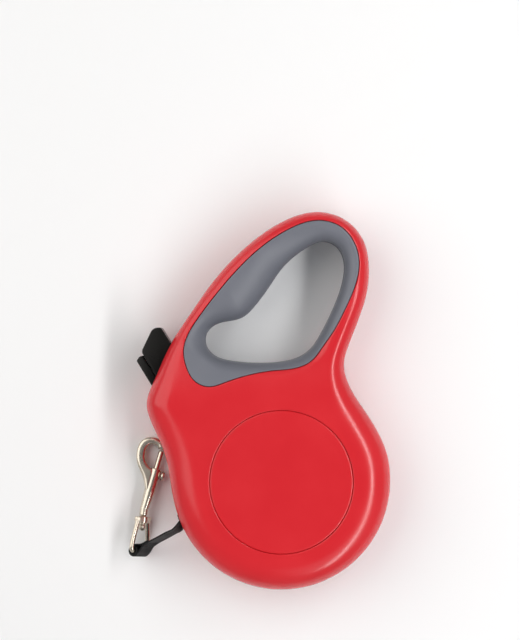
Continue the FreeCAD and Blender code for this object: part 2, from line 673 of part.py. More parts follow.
tube = tube_rod(17.0, 28.0, size("tube_rad"))
tube = tube.fuse(Part.makeCone(1.9, size("tube_rad"), 8.5, tube_from + tube_way * 8.5, tube_way))
hook = hook.fuse(tube)
hook = hook.fuse(rod(Vector(0, 5.4, 0), Vector(0, 9.8, 0), 1.9))
hook = hook.fuse(rod(Vector(0, 0, 0), Vector(0, 6.0, 0), 1.2))
hook = hook.fuse(Part.makeSphere(1.7))
hook = hook.cut(tube_rod(15.0, 31.4, size("bolt_bore")))
window = Part.makeBox(4.0, 8.3, 1.9, Vector(0, 18.3, -0.95))
window.Placement = framed(tube_from, tube_out, tube_way)
hook = hook.cut(window)
feature("hook_body", hook.removeSplitter(), hook_place)

bolt = rod(Vector(0, 24.3, 0), Vector(0, 36.6, 0), size("bolt_rad"))
bolt = bolt.fuse(rod(Vector(0, 25.5, 0), Vector(3.4, 25.5, 0), 0.75))
knob = rod(Vector(3.0, 25.5, 0), Vector(4.6, 25.5, 0), 2.2)
feature("hook_bolt", bolt.fuse(knob).removeSplitter(), tube_place)
bolt_spring = coil(1.05, 0.18, 8.4, 9)
feature("bolt_spring", bolt_spring,
        tube_place.multiply(Placement(Vector(0, 15.4, 0),
                                      Rotation(Vector(0, 0, 1), Vector(0, 1, 0)))))

# ---------------------------------------------------------------- checks, then one file each
doc.recompute()
bad = [o.Name for o in doc.Objects if "Invalid" in o.State or "Error" in o.State]
if bad:
    raise SystemExit("failed objects: %s" % ", ".join(bad))
for obj in nodes:
    if obj.Shape.isNull() or not obj.Shape.isValid() or not obj.Shape.Solids:
        raise SystemExit("bad shape: " + obj.Label)
os.makedirs("parts", exist_ok=True)
for obj in nodes:
    obj.Shape.exportStep("parts/%s.step" % obj.Label)
    box = obj.Shape.BoundBox
    print("%-16s %8.1f mm3 %2d solids" % (obj.Label, obj.Shape.Volume, len(obj.Shape.Solids)),
          "x %.1f %.1f y %.1f %.1f z %.1f %.1f" % (box.XMin, box.XMax, box.YMin, box.YMax,
                                                   box.ZMin, box.ZMax))
print(len(nodes), "pieces")
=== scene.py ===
"""Looks of the retractable leash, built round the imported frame.

Lengths are millimetres, x, y and z are the frame's own axes, and make() turns them into metres.
"""
import json
import math

import bmesh
import bpy
import numpy as np
from mathutils import Matrix, Vector, geometry


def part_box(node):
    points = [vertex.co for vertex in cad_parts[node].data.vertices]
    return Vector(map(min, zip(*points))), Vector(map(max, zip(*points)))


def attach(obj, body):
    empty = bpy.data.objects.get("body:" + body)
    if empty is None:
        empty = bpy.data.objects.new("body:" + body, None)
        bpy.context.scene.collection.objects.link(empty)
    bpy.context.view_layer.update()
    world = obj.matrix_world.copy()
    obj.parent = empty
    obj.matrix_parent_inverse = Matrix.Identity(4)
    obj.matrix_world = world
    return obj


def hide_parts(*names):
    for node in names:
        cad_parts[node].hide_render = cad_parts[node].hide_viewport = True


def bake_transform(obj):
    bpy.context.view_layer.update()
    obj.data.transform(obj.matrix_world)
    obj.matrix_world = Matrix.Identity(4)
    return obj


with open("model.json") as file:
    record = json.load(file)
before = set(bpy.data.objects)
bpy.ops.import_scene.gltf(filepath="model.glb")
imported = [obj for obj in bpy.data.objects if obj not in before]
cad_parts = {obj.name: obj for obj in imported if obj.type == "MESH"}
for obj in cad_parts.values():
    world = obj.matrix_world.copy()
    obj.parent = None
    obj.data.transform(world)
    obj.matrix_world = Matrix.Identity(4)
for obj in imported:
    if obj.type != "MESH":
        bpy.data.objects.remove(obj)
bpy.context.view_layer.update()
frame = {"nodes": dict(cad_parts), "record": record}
nodes = frame["nodes"]
MM = 0.001
MID = 17.0           # height of the parting plane between the casing's halves
HALF_BODY = 17.0     # half thickness of the casing round the reel
HANDLE_LESS = 4.0    # how much less that is at the handle
LINE = 0.13          # half the width of the gap between casing and grip
WALL = 2.2           # side wall of the casing
SKIN = 2.0           # thickness of the grip
CAP_RAD = 32.2       # radius of the side caps
RECESS_RAD = 32.28   # radius of the recess that a side cap lies in
FRONT_FLOOR = 15.08  # floor of the front recess, whose cap lies half a millimetre deep
BACK_FLOOR = 15.58   # floor of the back recess, whose cap is flush

# ---------------------------------------------------------------- curves of the casing
OUTER = [(44.9, 20.0), (38.6, 30.6), (31.6, 41.6), (28.6, 53.0), (31.0, 62.0), (35.8, 74.5),
         (39.2, 86.5), (39.9, 96.5), (38.0, 107.4), (30.5, 117.2), (17.1, 121.8), (2.7, 118.4),
         (-14.2, 107.4), (-28.8, 92.8), (-42.0, 74.5), (-51.2, 59.9), (-57.6, 45.2),
         (-61.0, 34.5), (-59.0, 26.5), (-54.9, 17.5), (-51.6, 7.5), (-49.9, -3.0)]
OUTER += [(49.5 * math.cos(math.radians(a)), 49.5 * math.sin(math.radians(a)))
          for a in list(range(196, 366, 14)) + [374]]
HOLE = [(19.1, 108.6), (12.2, 106.0), (6.3, 101.9), (1.6, 97.5), (-5.3, 87.9), (-12.3, 78.6),
        (-17.0, 74.2), (-21.7, 72.5), (-26.9, 71.6), (-31.0, 69.8), (-33.6, 66.9),
        (-34.4, 62.5), (-31.5, 57.2), (-23.0, 54.0), (-10.0, 53.0), (2.0, 53.9), (8.7, 56.0),
        (13.3, 59.3), (16.9, 64.2), (20.3, 70.4), (23.8, 77.7), (26.7, 85.0), (28.6, 92.3),
        (29.0, 97.5), (27.6, 103.3), (24.2, 107.2)]
GRIP = [(17.1, 117.6), (3.7, 113.8), (-7.8, 106.5), (-19.7, 95.5), (-29.2, 84.5),
        (-37.5, 73.6), (-42.0, 66.3), (-44.0, 59.0), (-42.7, 51.6), (-38.4, 44.9),
        (-32.5, 42.8), (-25.5, 44.6), (-15.0, 47.9), (-4.0, 49.9), (5.5, 50.9), (13.5, 54.3),
        (18.6, 60.6), (22.9, 66.7), (28.8, 77.7), (33.4, 88.7), (35.0, 99.6), (33.1, 107.0),
        (27.4, 114.3)]


def area(p):
    q = np.roll(p, -1, 0)
    return 0.5 * np.sum(p[:, 0] * q[:, 1] - p[:, 1] * q[:, 0])


def unit(v):
    return v / np.linalg.norm(v, axis=1)[:, None]


def outward(p):
    """Unit normals of an anticlockwise loop, pointing out of it."""
    d = unit(np.roll(p, -1, 0) - np.roll(p, 1, 0))
    return np.stack([d[:, 1], -d[:, 0]], 1)


def travel(p):
    """Distance travelled along a line, at each of its points."""
    return np.concatenate([[0], np.cumsum(np.linalg.norm(np.diff(p, axis=0), axis=1))])


def resample(p, count, closed=False):
    """The same line with evenly spaced points. A closed one leaves out the repeated last point."""
    at = travel(p)
    want = np.linspace(0, at[-1], count, endpoint=not closed)
    return np.stack([np.interp(want, at, p[:, c]) for c in range(p.shape[1])], 1)


def cubic(p0, p1, s0, s1, h, t):
    """A point of a cubic spline's span of length h, from its ends and their second derivatives."""
    w = h - t
    return (s0 * w ** 3 / (6 * h) + s1 * t ** 3 / (6 * h)
            + (p0 / h - s0 * h / 6) * w + (p1 / h - s1 * h / 6) * t)


def loop_spline(points, count):
    """A closed cubic spline through points, sampled evenly, anticlockwise."""
    p = np.array(points, float)
    n = len(p)
    h = np.linalg.norm(np.roll(p, -1, 0) - p, axis=1)
    m = np.zeros((n, n))
    rhs = np.zeros((n, 2))
    for i in range(n):
        a, b = h[i - 1], h[i]
        m[i, i - 1] = a
        m[i, i] = 2 * (a + b)
        m[i, (i + 1) % n] = b
        rhs[i] = 6 * ((p[(i + 1) % n] - p[i]) / b - (p[i] - p[i - 1]) / a)
    s = np.linalg.solve(m, rhs)
    steps = 40
    fine = np.array([cubic(p[i], p[(i + 1) % n], s[i], s[(i + 1) % n], h[i], h[i] * k / steps)
                     for i in range(n) for k in range(steps)])
    if area(fine) < 0:
        fine = fine[::-1]
    return resample(np.vstack([fine, fine[:1]]), count, closed=True)


def near(q, loop):
    """Distance of points q to a closed loop."""
    a = loop
    d = np.roll(loop, -1, 0) - a
    dd = (d ** 2).sum(1)
    out = np.full(len(q), 1e9)
    for i in range(0, len(q), 2000):
        part = q[i:i + 2000]
        t = ((part[:, None] - a) * d).sum(2) / dd
        t = np.clip(t, 0, 1)
        c = a + t[..., None] * d
        out[i:i + 2000] = np.sqrt(((part[:, None] - c) ** 2).sum(2).min(1))
    return out


def inside(q, loop):
    """Which of the points q a closed loop goes round."""
    x, y = q[:, 0][:, None], q[:, 1][:, None]
    a, b = loop, np.roll(loop, -1, 0)
    crosses = (a[:, 1] > y) != (b[:, 1] > y)
    with np.errstate(divide="ignore", invalid="ignore"):
        at = (b[:, 0] - a[:, 0]) * (y - a[:, 1]) / (b[:, 1] - a[:, 1]) + a[:, 0]
    return (crosses & (x < at)).sum(1) % 2 == 1


def ease(v, low, high):
    """0 below low, 1 above high, and a smooth step between them."""
    t = np.clip((v - low) / (high - low), 0, 1)
    return t * t * (3 - 2 * t)


RIM = loop_spline(OUTER, 480)
GAP = loop_spline(HOLE, 330)
SEAM = loop_spline(GRIP, 380)


def half_thick(y):
    """Half thickness of the casing, which thins towards the handle."""
    t = np.clip((y - 33.0) / 34.0, 0, 1)
    return HALF_BODY - HANDLE_LESS * t ** 3 * (t * (6 * t - 15) + 10)


def edge_wide(y):
    """How far in from the outline the rounding reaches."""
    return 13.0 - 6.3 * ease(y, 22.0, 62.0)


def edge_high(y):
    """How far down the side the rounding reaches."""
    return 11.0 - 3.0 * ease(y, 22.0, 62.0)


def hole_soft(q):
    """0 where the grip is a narrow band, 1 where it is wide under the palm."""
    return ease(-q[:, 0], -24.0, 6.0) * ease(q[:, 1], 53.0, 68.0)


def hole_wide(q):
    """How far out from the finger hole the grip's rounding reaches."""
    return 5.2 + 9.4 * hole_soft(q)


def hole_high(q):
    """How far down the hole's side the rounding reaches."""
    return 5.8 + 4.6 * hole_soft(q)


def round_off(d, wide, high, power=2.15):
    """Drop of a rolled-over edge at distance d from it."""
    t = np.clip(1 - d / wide, 0, 1)
    return high * (1 - np.sqrt(np.clip(1 - t ** power, 0, 1)))


def top(q, d_rim=None, d_hole=None):
    """Height of the outer surface above the parting plane."""
    q = np.atleast_2d(q)
    y = q[:, 1]
    d_rim = near(q, RIM) if d_rim is None else d_rim
    d_hole = near(q, GAP) if d_hole is None else d_hole
    z = half_thick(y) - round_off(d_rim, edge_wide(y), edge_high(y))
    return z - round_off(d_hole, hole_wide(q), hole_high(q), 1.75)


def under(q):
    """Height of the inner surface of the red shell."""
    q = np.atleast_2d(q)
    y = q[:, 1]
    d = np.maximum(near(q, RIM) - WALL, 0)
    z = half_thick(y) - 3.2 + 0.8 * ease(y, 33.0, 63.0)
    z = z - round_off(d, edge_wide(y) - 1.5, edge_high(y) - 1.5)
    return np.minimum(z, top(q) - 1.5)


def make(name, verts, faces, merge, smooth=True):
    """An object from points in metres; points closer than merge become one."""
    mesh = bpy.data.meshes.new(name)
    mesh.from_pydata(verts, [], [[int(i) for i in f] for f in faces])
    bm = bmesh.new()
    bm.from_mesh(mesh)
    bmesh.ops.remove_doubles(bm, verts=bm.verts, dist=merge)
    bmesh.ops.recalc_face_normals(bm, faces=bm.faces)
    bm.to_mesh(mesh)
    bm.free()
    if smooth:
        mesh.shade_smooth()
    obj = bpy.data.objects.new(name, mesh)
    bpy.context.scene.collection.objects.link(obj)
    return obj


class Shape:
    """Rings of points joined into a closed mesh."""

    def __init__(self):
        self.v = []
        self.f = []

    def ring(self, xy, z):
        z = np.broadcast_to(z, len(xy))
        first = sum(len(a) for a in self.v)
        self.v.append(np.column_stack([xy, z]))
        return np.arange(first, first + len(xy))

    def join(self, a, b):
        c = np.roll(a, -1)
        d = np.roll(b, -1)
        self.f += [tuple(q) for q in np.stack([a, c, d, b], 1)]

    def bands(self, rings):
        for a, b in zip(rings[:-1], rings[1:]):
            self.join(a, b)

    def points(self):
        return np.vstack(self.v)

    def fill(self, outer, holes, height, step, flip=False):
        """Triangles over the flat region between closed rings, with new points inside it."""
        pts = self.points()
        rings = [outer] + holes
        loops = [pts[r][:, :2] for r in rings]
        low, high = loops[0].min(0), loops[0].max(0)
        grid = []
        row = 0
        y = low[1]
        while y < high[1]:
            xs = np.arange(low[0] + (step / 2 if row % 2 else 0), high[0], step)
            grid.append(np.column_stack([xs, np.full(len(xs), y)]))
            y += step * 0.866
            row += 1
        grid = np.vstack(grid)
        ok = inside(grid, loops[0])
        for loop in loops[1:]:
            ok &= ~inside(grid, loop)
        grid = grid[ok]
        for loop in loops:
            grid = grid[near(grid, loop) > step * 0.62]
        new = self.ring(grid, height(grid)) if len(grid) else np.zeros(0, int)
        index = np.concatenate(rings + [new])
        flat = np.vstack(loops + [grid])
        edges = []
        start = 0
        for r in rings:
            n = len(r)
            edges += [(start + i, start + (i + 1) % n) for i in range(n)]
            start += n
        out = geometry.delaunay_2d_cdt([Vector(p) for p in flat], edges, [], 0, 1e-7)
        tris, origin = out[2], out[3]
        back = [o[0] if o else -1 for o in origin]
        tri = np.array([[back[i] for i in t] for t in tris if len(t) == 3])
        tri = tri[(tri >= 0).all(1)]
        mid = flat[tri].mean(1)
        ok = inside(mid, loops[0])
        for loop in loops[1:]:
            ok &= ~inside(mid, loop)
        for t in tri[ok]:
            a, b, c = flat[t]
            turn = (b[0] - a[0]) * (c[1] - a[1]) - (b[1] - a[1]) * (c[0] - a[0])
            t = t if turn > 0 else t[::-1]
            t = t[::-1] if flip else t
            self.f.append(tuple(int(i) for i in index[t]))

    def put(self, name, sign=1.0):
        """The finished object. sign -1 turns it over, for the back half."""
        v = self.points()
        v = np.column_stack([v[:, 0], v[:, 1], MID + sign * v[:, 2]]) * MM
        return make(name, v.tolist(), self.f, 2e-6)


rim_out = outward(RIM)
gap_out = outward(GAP)
seam_out = outward(SEAM)


def circle(r, n=240):
    a = np.arange(n) * 2 * math.pi / n
    return np.column_stack([r * np.cos(a), r * np.sin(a)])


def shell_half(name, sign):
    """One red half: sides, edge beside the grip, recess for the cap, and the inner faces."""
    s = Shape()
    y = RIM[:, 1]
    wide = edge_wide(y)
    to_seam = near(RIM, SEAM)
    depth = np.minimum(wide, (to_seam - LINE - 0.8) * 0.72)
    last = np.arccos(1 - depth / wide)
    side_top = half_thick(y) - edge_high(y)
    outer = [s.ring(RIM - rim_out * 0.28, 0.02), s.ring(RIM - rim_out * 0.22, 0.2),
             s.ring(RIM - rim_out * 0.06, 0.34), s.ring(RIM, 0.6)]
    outer.append(s.ring(RIM, 0.6 + (side_top - 0.6) * 0.5))
    steps = 16
    for k in range(steps + 1):
        d = wide * (1 - np.cos(last * k / steps))
        q = RIM - rim_out * d[:, None]
        outer.append(s.ring(q, top(q, d)))
    s.bands(outer)
    inner = [s.ring(RIM - rim_out * WALL, 0.02)]
    wide_in = wide - 1.5
    depth_in = np.minimum(wide_in, (to_seam - LINE - WALL) * 0.5)
    last_in = np.arccos(1 - depth_in / wide_in)
    for k in range(9):
        d = wide_in * (1 - np.cos(last_in * k / 8))
        q = RIM - rim_out * (WALL + d)[:, None]
        inner.append(s.ring(q, under(q)))
    for a, b in zip(inner[:-1], inner[1:]):
        s.join(b, a)
    s.join(inner[0], outer[0])
    # edge beside the grip
    q0 = SEAM + seam_out * LINE
    z0 = under(q0)
    seam = [s.ring(q0, z0)]
    for out, down in ((LINE, 0.42), (LINE + 0.03, 0.2), (LINE + 0.12, 0.07), (LINE + 0.3, 0.01),
                      (LINE + 0.7, 0.0)):
        q = SEAM + seam_out * out
        seam.append(s.ring(q, top(q) - down))
    s.bands(seam)
    # recess for the side cap
    floor = FRONT_FLOOR if sign > 0 else BACK_FLOOR
    cap = []
    for r, down in ((33.4, 0.0), (32.8, 0.01), (32.5, 0.06), (32.34, 0.18),
                    (RECESS_RAD, 0.4)):
        cap.append(s.ring(circle(r), HALF_BODY - down))
    for r in (RECESS_RAD, 31.0, 22.0, 13.0, 5.0):
        cap.append(s.ring(circle(r), floor))
    s.bands(cap)
    s.f.append(tuple(int(i) for i in cap[-1]))
    s.fill(outer[-1], [seam[-1], cap[0]], top, step=1.7)
    s.fill(inner[-1], [seam[0]], under, step=3.0, flip=True)
    return s.put(name, sign)


def grip_half(name, sign):
    """One grey half: a padded band between the seam and the finger hole, hollow underneath."""
    s = Shape()
    q0 = SEAM - seam_out * LINE
    seam = [s.ring(q0, top(q0) - SKIN)]
    for out, down in ((LINE, 0.42), (LINE + 0.04, 0.18), (LINE + 0.15, 0.06), (LINE + 0.35, 0.01),
                      (LINE + 0.7, 0.0)):
        q = SEAM - seam_out * out
        seam.append(s.ring(q, top(q) - down))
    y = GAP[:, 1]
    room = near(GAP, SEAM)
    wide = hole_wide(GAP)
    depth = np.minimum(wide, (room - LINE - 0.7) * 0.72)
    last = np.arccos(1 - depth / wide)
    side_top = half_thick(y) - hole_high(GAP)
    hole = [s.ring(GAP + gap_out * 0.24, 0.02), s.ring(GAP + gap_out * 0.18, 0.18),
            s.ring(GAP + gap_out * 0.05, 0.3), s.ring(GAP, 0.55),
            s.ring(GAP, 0.55 + (side_top - 0.55) * 0.5)]
    for k in range(13):
        d = wide * (1 - np.cos(last * k / 12))
        q = GAP + gap_out * d[:, None]
        hole.append(s.ring(q, top(q, None, d)))
    inner = [s.ring(GAP + gap_out * SKIN, 0.02)]
    depth_in = np.minimum(wide - 1.0, (room - LINE - SKIN) * 0.5)
    for k in range(6):
        q = GAP + gap_out * (SKIN + depth_in * k / 5)[:, None]
        drop = SKIN + 2.4 * (1 - k / 5) ** 2
        inner.append(s.ring(q, top(q) - drop))
    for a, b in zip(hole[:-1], hole[1:]):
        s.join(b, a)
    s.bands(inner)
    s.join(hole[0], inner[0])
    for a, b in zip(seam[:-1], seam[1:]):
        s.join(b, a)
    s.fill(seam[-1], [hole[-1]], top, step=1.3)
    s.fill(seam[0], [inner[-1]], lambda q: top(q) - SKIN, step=2.2, flip=True)
    return s.put(name, sign)


# ---------------------------------------------------------------- tools for the smaller pieces
def solid(name, verts, faces, where=None, smooth=True):
    """An object from points in millimetres, placed by a matrix in millimetres."""
    m = where or Matrix.Identity(4)
    return make(name, [(m @ Vector(v)) * MM for v in verts], faces, 1e-6, smooth)


def settle(obj):
    """Replace the mesh by what its modifiers make of it."""
    bpy.context.view_layer.update()
    made = obj.evaluated_get(bpy.context.evaluated_depsgraph_get())
    mesh = bpy.data.meshes.new_from_object(made)
    obj.modifiers.clear()
    obj.data = mesh
    return obj


def combine(obj, tools, operation):
    """Union with or cut by other solids, which are used up."""
    for tool in tools:
        m = obj.modifiers.new("combine", "BOOLEAN")
        m.operation = operation
        m.solver = "EXACT"
        m.object = tool
        settle(obj)
        bpy.data.objects.remove(tool)
    return obj


def cast(obj, voxel, rounds):
    """Melt joined solids into one skin with soft inner corners, as a casting has."""
    m = obj.modifiers.new("skin", "REMESH")
    m.mode = "VOXEL"
    m.voxel_size = voxel * MM
    m.use_smooth_shade = True
    s = obj.modifiers.new("soft", "SMOOTH")
    s.factor = 0.5
    s.iterations = rounds
    settle(obj)
    obj.data.shade_smooth()
    return obj


def crease(obj, degrees=36.0):
    """Keep the corners crisp where faces meet at more than this angle."""
    bm = bmesh.new()
    bm.from_mesh(obj.data)
    for f in bm.faces:
        f.smooth = True
    for e in bm.edges:
        if len(e.link_faces) == 2:
            e.smooth = e.calc_face_angle(0.0) < math.radians(degrees)
    bm.to_mesh(obj.data)
    bm.free()
    return obj


def bevel(obj, width, segments):
    """Round every corner sharper than 30 degrees."""
    m = obj.modifiers.new("edge", "BEVEL")
    m.width = width * MM
    m.segments = segments
    m.limit_method = "ANGLE"
    m.angle_limit = math.radians(30.0)
    m.harden_normals = False
    settle(obj)
    return crease(obj)


def move(x, y, z=0.0):
    """The matrix that moves things by x, y and z."""
    return Matrix.Translation((x, y, z))


def axes(origin, x, y, z):
    """The matrix that has its origin and its three axes there."""
    m = Matrix.Identity(4)
    for k, v in enumerate((x, y, z, origin)):
        for r in range(3):
            m[r][k] = v[r]
    return m


def ring_points(r, count):
    """Points (x, y) evenly round a circle."""
    return [(r * math.cos(2 * math.pi * k / count), r * math.sin(2 * math.pi * k / count))
            for k in range(count)]


def prism(name, outline, low, high, where=None):
    """A flat outline given a thickness along local z."""
    n = len(outline)
    verts = [(x, y, low) for x, y in outline] + [(x, y, high) for x, y in outline]
    faces = [list(range(n))[::-1], list(range(n, 2 * n))]
    faces += [[i, (i + 1) % n, n + (i + 1) % n, n + i] for i in range(n)]
    return solid(name, verts, faces, where, smooth=False)


def lathe(name, profile, where=None, count=64):
    """Turn (radius, height) pairs about local z. Points at radius 0 close the ends."""
    verts, faces, rings = [], [], []
    for r, z in profile:
        if r < 1e-9:
            rings.append([len(verts)])
            verts.append((0, 0, z))
        else:
            rings.append(list(range(len(verts), len(verts) + count)))
            verts += [(x, y, z) for x, y in ring_points(r, count)]
    if len(rings[0]) > 1:
        rings.append(rings[0])
    for a, b in zip(rings[:-1], rings[1:]):
        for k in range(count):
            j = (k + 1) % count
            if len(a) == 1:
                faces.append([a[0], b[k], b[j]])
            elif len(b) == 1:
                faces.append([a[k], b[0], a[j]])
            else:
                faces.append([a[k], a[j], b[j], b[k]])
    return solid(name, verts, faces, where)


def rounded(points, radius, steps=6):
    """Corners of a closed polygon turned into short curves."""
    p = [Vector(q) for q in points]
    out = []
    for i, corner in enumerate(p):
        before, after = p[i - 1] - corner, p[(i + 1) % len(p)] - corner
        r = min(radius, before.length * 0.48, after.length * 0.48)
        a, b = corner + before.normalized() * r, corner + after.normalized() * r
        for k in range(steps + 1):
            t = k / steps
            q = a * (1 - t) ** 2 + corner * 2 * t * (1 - t) + b * t ** 2
            out.append((q.x, q.y))
    return out


def spaced(points, gap):
    """A closed polygon with its points evenly spaced."""
    p = np.array([*points, points[0]], float)
    p = resample(p, int(travel(p)[-1] / gap), closed=True)
    return p if area(p) > 0 else p[::-1]


def crowned(name, outline, half, wide, high, where, gap):
    """A flat piece whose edges roll over: both faces fall away towards the outline."""
    loop = spaced(outline, gap)
    out = outward(loop)
    s = Shape()

    def height(q):
        return half - round_off(near(q, loop), wide, high)

    rings = []
    for d in (0.0, 0.02, 0.08, 0.2, 0.38):
        q = loop - out * d
        rings.append(s.ring(q, half - round_off(np.full(len(q), d), wide, high)))
    s.bands(rings)
    s.fill(rings[-1], [], height, gap * 1.15)
    top_v, top_f = s.points(), s.f
    n = len(top_v)
    low_v = top_v * [1, 1, -1]
    faces = list(top_f) + [tuple(i + n for i in f[::-1]) for f in top_f]
    m = len(loop)
    faces += [(n + i, n + (i + 1) % m, (i + 1) % m, i) for i in range(m)]
    return solid(name, np.vstack([top_v, low_v]).tolist(), faces, where)


def open_spline(points, count):
    """A smooth line through points, evenly sampled."""
    p = np.array(points, float)
    n = len(p)
    h = np.linalg.norm(np.diff(p, axis=0), axis=1)
    m = np.zeros((n, n))
    rhs = np.zeros_like(p)
    m[0, 0] = m[-1, -1] = 1
    for i in range(1, n - 1):
        m[i, i - 1], m[i, i], m[i, i + 1] = h[i - 1], 2 * (h[i - 1] + h[i]), h[i]
        rhs[i] = 6 * ((p[i + 1] - p[i]) / h[i] - (p[i] - p[i - 1]) / h[i - 1])
    s = np.linalg.solve(m, rhs)
    steps = 30
    fine = np.array([cubic(p[i], p[i + 1], s[i], s[i + 1], h[i], h[i] * k / steps)
                     for i in range(n - 1) for k in range(steps + (i == n - 2))])
    return resample(fine, count)


def swept(name, line, section, across, thick, where=None):
    """A section of (w, t) points carried along a line, with axes across and thick at each point."""
    n = len(section)
    verts = []
    for p, w, t in zip(line, across, thick):
        verts += [tuple(p + w * a + t * b) for a, b in section]
    faces = [list(range(n))[::-1], list(range(len(verts) - n, len(verts)))]
    for k in range(len(line) - 1):
        a, b = k * n, (k + 1) * n
        faces += [[a + i, a + (i + 1) % n, b + (i + 1) % n, b + i] for i in range(n)]
    return solid(name, verts, faces, where)


def piece(obj, body, slot_name, *replaced):
    """Hang the object on its body and hide the frame's parts that it takes the place of."""
    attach(obj, body)
    if replaced:
        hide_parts(*replaced)
    return obj


# ---------------------------------------------------------------- casing and grip
shell_front = piece(shell_half("red_shell_front", 1.0), "casing", "casing_red", "shell_front")
shell_back = piece(shell_half("red_shell_back", -1.0), "casing", "casing_red", "shell_back")
grip_front = piece(grip_half("soft_grip_front", 1.0), "casing", "grip_grey", "grip_front")
grip_back = piece(grip_half("soft_grip_back", -1.0), "casing", "grip_grey", "grip_back")

# ---------------------------------------------------------------- openings and screw wells
# BRAKE has its x along the button's travel. WAY is the way out for the tape, and START is where the
# tape leaves the winding. OUT has its x along WAY, and its z down.
BRAKE = axes((0, 0, 0), (0.525026, -0.851086, 0), (0.851086, 0.525026, 0), (0, 0, 1))
WAY = Vector((-0.34399, -0.938973, 0))
SIDE = Vector((-0.938973, 0.34399, 0))
START = SIDE * 36.45
MOUTH = START + WAY * 35.0
OUT = axes(START, WAY, SIDE, Vector((0, 0, -1)))
WELL_RAD = 2.2
HEAD_DEPTH = 2.6      # how far a screw's head lies inside the surface, at its middle
EDGE_DEPTH = 1.3      # and at the shallowest point of its well's edge
SCREW_XY = [(24.0, 49.0), (-53.0, 26.5), (18.0, 116.1), (31.9, -31.9), (-31.9, -31.9)]


def seat_height(x, y):
    """Where a screw's head sits: below the back's surface at its middle and all round its edge."""
    middle = HEAD_DEPTH - float(top([(x, y)])[0])
    edge = EDGE_DEPTH - float(top([(x + a, y + b) for a, b in ring_points(WELL_RAD, 24)]).min())
    return MID + max(middle, edge)


SCREWS = [(x, y, seat_height(x, y)) for x, y in SCREW_XY]


def gaps():
    """Solids that cut the way out for the button, the lock and the tape."""
    button = [(-95, -9.5), (-71, -9.5), (-60.6, -23.8), (-60.6, -30.2), (-95, -30.2)]
    slot = [(24, -2.42), (50, -2.42), (50, 2.42), (24, 2.42)]
    return [prism("gap", rounded(button, 1.0), 9.6, 24.4, BRAKE),
            prism("gap", slot, -23.8, -10.2, OUT)]


def boss(x, y, seat):
    """Post round a screw; its lower face stays 0.6 mm inside the shell's outer surface."""
    n = 40
    verts, faces = [], []
    for r, high in ((0.01, 0), (1.0, 0), (2.0, 0), (2.6, 0), (3.2, 0), (3.2, 5.6), (2.6, 6.0)):
        q = np.array(ring_points(r, n)) + (x, y)
        z = np.full(n, seat + high) if high else np.maximum(seat - 0.7, MID - top(q) + 0.6)
        verts += [(*p, h) for p, h in zip(q.tolist(), z.tolist())]
    last = len(verts) - n
    for k in range(0, last, n):
        faces += [[k + i, k + (i + 1) % n, k + n + (i + 1) % n, k + n + i] for i in range(n)]
    return solid("boss", verts, [list(range(n))[::-1], *faces, list(range(last, last + n))])


def well(screw, rad, inward):
    """Round cut from the back's surface to a screw's seat, and inward past it."""
    return lathe("well", [(0, -9.0), (rad, -9.0), (rad, inward), (0, inward)], move(*screw), 48)


combine(shell_back, [boss(*screw) for screw in SCREWS], "UNION")
combine(shell_back, gaps() + [well(s, WELL_RAD, 0.0) for s in SCREWS], "DIFFERENCE")
combine(shell_front, gaps(), "DIFFERENCE")
combine(grip_back, [well(SCREWS[2], WELL_RAD + 0.15, 4.0)], "DIFFERENCE")
for half in (shell_back, shell_front, grip_back):
    crease(half, 40)

# ---------------------------------------------------------------- side caps
for name, node, turned_over in (("side_cap_front", "cap_front", False),
                                ("side_cap_back", "cap_back", True)):
    rim = [(CAP_RAD, 0.02), (CAP_RAD, 0.78), (32.15, 0.98), (32.02, 1.14), (31.8, 1.25),
           (31.5, 1.31), (30.8, 1.335), (28.0, 1.345), (18.0, 1.35), (8.0, 1.35), (0, 1.35)]
    disc = [(0, 0.02)] + [(r, h + 0.05 * (1 - (r / CAP_RAD) ** 2)) if h > 0.1 else (r, h)
                          for r, h in rim]
    place = axes((0, 0, 1.4), (1, 0, 0), (0, -1, 0), (0, 0, -1)) if turned_over \
        else move(0, 0, 32.1)
    piece(lathe(name, disc, place, 200), "casing", "casing_red", node)

# ---------------------------------------------------------------- button and lock
button = prism("brake_button_cap", rounded(
    [(-76.2, -9.95), (-66.9, -23.4), (-82.9, -23.4), (-88.85, -14.2), (-88.85, -12.2),
     (-87.6, -9.95)], 1.6, 7), 10.05, 23.95, BRAKE)
bevel(button, 1.15, 5)
piece(button, "brake", "black_plastic", "brake_button")
lock = prism("lock_lever_arm", rounded(
    [(-81.1, -23.8), (-81.55, -25.3), (-80.6, -27.45), (-64.0, -27.55), (-60.0, -27.25),
     (-52.95, -26.55), (-52.95, -22.45), (-55.05, -22.45), (-55.6, -24.15), (-60.0, -23.8)],
    0.55, 4), 11.05, 22.95, BRAKE)
bevel(lock, 0.5, 3)
piece(lock, "lock", "black_plastic", "lock_lever")

# ---------------------------------------------------------------- liner of the tape's mouth
liner = prism("mouth_liner", [(28, -2.33), (38.5, -2.33), (38.5, 2.33), (28, 2.33)],
              -23.73, -10.27, OUT)
inner = prism("slot", [(20, -1.5), (45, -1.5), (45, 1.5), (20, 1.5)], -22.7, -11.3, OUT)
outside = lathe("rim", [(49.75, -5), (49.75, 50), (90, 50), (90, -5)], None, 300)
combine(liner, [inner, outside], "DIFFERENCE")
bevel(liner, 0.28, 3)
piece(liner, "casing", "black_plastic", "outlet_liner")

